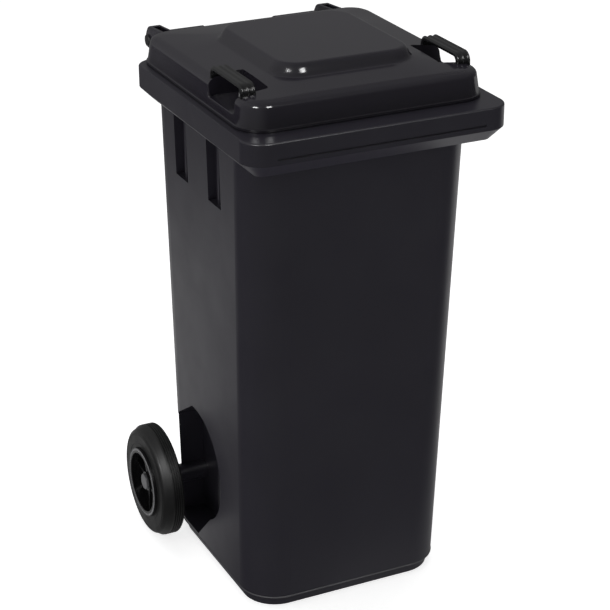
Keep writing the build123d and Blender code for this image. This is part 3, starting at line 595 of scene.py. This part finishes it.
armSizes = {
    "axis": (260.0, 872.0), "root": 195.0, "behind": 204.0, "low": 869.5,
    "outer": (146.0, 166.0), "plate": 4.0, "inner": (50.0, 60.0), "overlap": 2.0,
    "edge": 1.3, "thinEdge": 0.9, "arc": 4,
}


def armShells(side):
    # two cheek plates joined by a humped strap and a bridge behind the hinge axis, and the plain inner arm;
    # the plates and the arm are solid at the axis, so the pin runs through them
    c = armSizes
    y, z = c["axis"]
    root, behind, under, arc = c["root"], c["behind"], c["low"], c["arc"]
    cheek = roundCorners([(root, under), (behind, under), (y - 15, z - 9), (y - 4, z - 14), (y + 9, z - 13),
                          (y + 15, z - 1), (y + 11, z + 11), (y + 3, z + 22), (y - 5, z + 26),
                          (y - 16, z + 26.5), (behind - 2, z + 30), (root, z + 29)],
                         (1, 2, 4, 4, 5, 5, 5, 4, 4, 4, 2, 1))
    strap = roundCorners([(y + 14, z + 1), (y + 11, z + 11), (y + 3, z + 22), (y - 5, z + 26),
                          (y - 14, z + 26.5), (y - 14, z + 22.5), (y - 4, z + 22), (y + 2, z + 16),
                          (y + 7, z + 8), (y + 10, z)],
                         (1, 3, 3, 3, 1, 1, 3, 3, 3, 1), arc)
    bridge = roundCorners([(y + 9, z - 13), (y + 15, z - 1), (y + 13, z + 4), (y + 9, z + 2), (y + 9, z - 3),
                           (y + 5, z - 9)], (2, 3, 1, 1, 3, 1), arc)
    inner = roundCorners([(root, under), (behind, under), (y - 6, z - 10.5), (y + 6, z - 10.5), (y + 11, z),
                          (y + 6, z + 10.5), (y - 6, z + 10.5), (behind, z + 22), (root, z + 22)],
                         (1, 2, 4, 4, 5, 4, 4, 2, 1))
    low, high = c["outer"]
    between = (low + c["overlap"], high - c["overlap"])
    spans = [(cheek, (low, low + c["plate"]), c["edge"]), (cheek, (high - c["plate"], high), c["edge"]),
             (strap, between, c["thinEdge"]), (bridge, between, c["thinEdge"]),
             (inner, c["inner"], c["edge"])]
    return [plate(outline, *sorted((side * a, side * b)), edge) for outline, (a, b), edge in spans]


lidShells = [lidShell()] + [shell for side in sides.values() for shell in armShells(side)]
lidSkin = makePiece("lid_skin", lidShells, "lidPlastic", "lid", 32.0)
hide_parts("lid")
print("stage: lid,", len(lidSkin.data.polygons), "faces")

# lid grips: a flat arched bar with three ridges along its outer side
gripSizes = {
    "x": 182.0, "front": -188.0, "rear": -70.0, "low": 890.0, "top": 924.5,
    "width": 25.0, "thick": 6.0, "bend": 14.0, "edge": 1.4, "endGap": 0.2,
    "ridge": 1.7, "ridgeWidth": 3.4, "ridgeFlat": 2.2, "ridgeIn": 3.0,
    "ridgeFrom": 908.0, "ridgeRun": 5.0,          # the ridges rise out of the legs over this height
    "across": 61, "under": 6, "endSteps": 9, "bendSteps": 12, "legSteps": 8, "flatSteps": 14,
}


def gripShell(side):
    # a closed section (x, outwards) carried along the arch of two legs, two quarter bends and the flat top;
    # ridges = sum of exp(-(distance / width) ^ 4)
    c = gripSizes
    half, thick, bend, top = c["width"] / 2, c["thick"], c["bend"], c["top"]
    x = np.linspace(-half + c["edge"], half - c["edge"], c["across"])
    places = (-half + c["ridgeIn"], 0.0, half - c["ridgeIn"])
    ridges = sum(np.exp(-((x - place) / (c["ridgeWidth"] / c["ridgeFlat"])) ** 4) for place in places)
    outer = np.stack([x, c["ridge"] * ridges], axis=1)
    round90 = np.linspace(math.pi / 2, -math.pi / 2, c["endSteps"])[1:-1]
    endX = half - c["edge"] + c["edge"] * np.cos(round90)
    rightEnd = np.stack([endX, -thick / 2 + (thick / 2 - c["endGap"]) * np.sin(round90)], axis=1)
    under = x[::-c["under"]]
    inner = np.stack([under, np.full(len(under), -thick)], axis=1)
    section = np.concatenate([outer, rightEnd, inner, rightEnd[::-1] * (-1, 1)])
    turn = np.linspace(0.0, math.pi / 2, c["bendSteps"])
    leg = np.linspace(c["low"], top - bend, c["legSteps"])[:-1]
    flat = np.linspace(c["front"] + bend, c["rear"] - bend, c["flatSteps"])[1:-1]
    still, level = np.ones(len(leg)), np.ones(len(flat))
    y = np.concatenate([still * c["front"], c["front"] + bend * (1 - np.cos(turn)), flat,
                        c["rear"] - bend * (1 - np.sin(turn)), still * c["rear"]])
    z = np.concatenate([leg, top - bend + bend * np.sin(turn), level * top,
                        top - bend + bend * np.cos(turn), leg[::-1]])
    outY = np.concatenate([-still, -np.cos(turn), 0 * level, np.sin(turn), still])
    outZ = np.concatenate([0 * still, np.sin(turn), level, np.cos(turn), 0 * still])
    ridgeFade = smooth((z - c["ridgeFrom"]) / c["ridgeRun"])[:, None]
    lift = section[None, :, 1] * np.where(section[None, :, 1] > 0, ridgeFade, 1.0)
    rings = np.stack([
        np.broadcast_to(side * c["x"] + section[None, :, 0], lift.shape),
        y[:, None] + lift * outY[:, None],
        z[:, None] + lift * outZ[:, None],
    ], axis=-1)
    return closedRings(rings)


for sideName, side in sides.items():
    grip = makePiece(f"grip_{sideName}", [gripShell(side)], "gripPlastic", "lid")
    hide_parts(f"lid_grip_{sideName}")
print("stage: grips")

# tyres: a turned section with grooves on the inner half of the tread and two rings on each side wall
tyreSizes = {
    "centre": (156.5, 100.0), "inner": 206.0, "outer": 244.0, "bore": 62.05, "boreEdge": 0.8,
    "radius": 100.0, "tread": 21.0, "taper": 5.5, "taperRun": (3.0, 0.5),
    "shoulder": 8.0, "shoulderLift": 0.81, "turnSteps": 9,
    "grooves": 4, "pitch": 4.0, "grooveFrom": 0.6, "grooveWidth": 2.2, "grooveDepth": 2.4,
    "grooveLip": (0.35, 0.15, 0.3), "grooveFoot": (0.5, 0.35),
    "rings": (70.0, 86.0), "ringWidth": 2.4, "ringDepth": 0.5, "ringBevel": 0.6, "steps": 192,
}


def tyreSection():
    # (x, radius): inner wall, rounded shoulder, grooved tread, taper, rounded shoulder, outer wall
    c = tyreSizes
    inner, outer, radius = c["inner"], c["outer"], c["radius"]
    turn = np.linspace(0.0, math.pi / 2, c["turnSteps"])
    small, big = c["shoulder"] / 2, c["shoulder"]
    drawnIn, drawnDown = small * (1 - np.cos(turn)), small * (1 - np.sin(turn))
    innerShoulder = np.stack([inner + drawnIn, radius - drawnDown], axis=1)
    starts = inner + small + c["grooveFrom"] + c["pitch"] * np.arange(c["grooves"])
    depth, wide = c["grooveDepth"], c["grooveWidth"]
    lipOut, lipIn, lipDown = c["grooveLip"]
    footIn, footUp = c["grooveFoot"]
    across = np.array([-lipOut, 0.0, lipIn, footIn, wide - footIn, wide - lipIn, wide, wide + lipOut])
    down = np.array([0.0, lipDown, depth - footUp, depth, depth, depth - footUp, lipDown, 0.0])
    grooves = np.stack([(starts[:, None] + across).ravel(), np.tile(radius - down, c["grooves"])], axis=1)
    run, drop = c["taperRun"]
    taper = np.array([[inner + c["tread"], radius], [inner + c["tread"] + run, radius - drop]])
    low, back = radius - c["taper"], turn[::-1]
    outerShoulder = np.stack([outer - big * (1 - np.cos(back)), low - big + big * np.sin(back)], axis=1)
    outerShoulder[:, 1] += c["shoulderLift"] * (1 - np.linspace(0, 1, len(turn)))
    half, deep, bevel = c["ringWidth"] / 2, c["ringDepth"], c["ringBevel"]
    groove = ((0.0, half), (deep, half - bevel), (deep, bevel - half), (0.0, -half))
    rings = np.array([(into, place + rise) for place in c["rings"][::-1] for into, rise in groove])
    outerWall = np.stack([outer - rings[:, 0], rings[:, 1]], axis=1)
    innerWall = np.stack([inner + rings[::-1, 0], rings[::-1, 1]], axis=1)
    bore, edge = c["bore"], c["boreEdge"]
    foot = np.array([[outer, bore + edge], [outer - edge, bore], [inner + edge, bore], [inner, bore + edge]])
    return np.concatenate([innerWall, innerShoulder, grooves, taper, outerShoulder, outerWall, foot])


for sideName, side in sides.items():
    tyreShell = revolve(tyreSection() * (side, 1), tyreSizes["centre"], tyreSizes["steps"])
    wheel = f"wheel_{sideName}"
    tyre = makePiece(f"tyre_skin_{sideName}", [tyreShell], "tyreRubber", wheel, 28.0)
    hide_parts(f"tyre_{sideName}")
print("stage: tyres")

# light grey ring on the hub's lip, standing just off its face
lipSizes = {
    "low": 247.2, "high": 249.4, "inner": 57.4, "outer": 60.6, "edge": 0.8, "turnSteps": 6, "steps": 144,
}


def lipSection():
    # (x, radius): a low bar with its root inside the lip and two outer edges in quarter rounds of radius edge;
    # the round at the larger radius runs backwards, so the section crosses itself there
    c = lipSizes
    low, high, inner, outer, edge = c["low"], c["high"], c["inner"], c["outer"], c["edge"]
    turn = np.linspace(0.0, math.pi / 2, c["turnSteps"])
    drop, rise = high - edge * (1 - np.cos(turn)), edge * (1 - np.sin(turn))
    far, near = np.stack([drop, outer - rise], axis=1), np.stack([drop, inner + rise], axis=1)
    return np.concatenate([[(low, outer)], far, near, [(low, inner)]])


for sideName, side in sides.items():
    lipShell = revolve(lipSection() * (side, 1), tyreSizes["centre"], lipSizes["steps"])
    makePiece(f"hub_lip_{sideName}", [lipShell], "lipPlastic", f"wheel_{sideName}", 50.0)
print("stage: hub lips")

# latch springs: a wire carried along a helix
springSizes = {
    "x": 229.5, "y": 156.5, "low": 125.1, "height": 7.8, "coil": 4.28,
    "wire": 0.3, "turns": 5, "top": 133.5, "kept": 0.667, "steps": 160, "wireSteps": 10,
}


def springShell(side):
    # rings of the wire's radius round a helix, each ring in the plane of the coil's radius and Z
    c = springSizes
    share = np.linspace(0.0, 1.0, c["steps"])[:, None]
    angle = 2 * math.pi * c["turns"] * share
    phase = np.linspace(0.0, 2 * math.pi, c["wireSteps"], endpoint=False)[None]
    reach = c["coil"] + c["wire"] * np.cos(phase)
    height = c["low"] + c["height"] * share + c["wire"] * np.sin(phase)
    x, y = side * c["x"] + reach * np.cos(angle), c["y"] + reach * np.sin(angle)
    return closedRings(np.stack([x, y, height], axis=-1))


for sideName, side in sides.items():
    coil = [springShell(side)]
    spring = makePiece(f"spring_{sideName}", coil, "platedSteel", f"wheel_{sideName}", 60.0)
    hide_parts(f"latch_spring_{sideName}")
    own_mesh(spring)
print("stage: springs")

# foot bead: a rounded edge round the body where the wall steps in to the foot, coloured far lighter than the
# tub as a painted highlight along that edge
footSizes = {
    "half": 179.0, "front": -179.0, "rear": 190.3, "corner": 65.0, "height": 18.9, "radius": 1.5, "sunk": 0.6,
    "around": 18, "section": 14,
}


def footBead():
    # quarter arcs at the four corners, joined by straight runs, each carrying a small circle
    c = footSizes
    turn = np.linspace(0.0, math.pi / 2, c["around"])
    angle = (turn[None] + np.arange(4)[:, None] * math.pi / 2).reshape(-1, 1)
    signX, signY = np.array([1, -1, -1, 1]), np.array([1, 1, -1, -1])
    centreX = np.repeat(signX * (c["half"] - c["corner"]), c["around"])[:, None]
    middleY = np.where(signY > 0, c["rear"] - c["corner"], c["front"] + c["corner"])
    centreY = np.repeat(middleY, c["around"])[:, None]
    phase = np.linspace(0.0, 2 * math.pi, c["section"], endpoint=False)[None]
    reach = c["corner"] - c["sunk"] + c["radius"] * np.cos(phase)
    height = np.broadcast_to(c["height"] + c["radius"] * np.sin(phase), (len(angle), c["section"]))
    rings = np.stack([centreX + reach * np.cos(angle), centreY + reach * np.sin(angle), height], axis=-1)
    index = np.arange(rings.shape[0] * rings.shape[1]).reshape(rings.shape[:2])
    return rings.reshape(-1, 3), gridFaces(index, closeRows=True, closeColumns=True)


makePiece("foot_bead", [footBead()], "footEdge", "bin")
print("stage: foot bead")
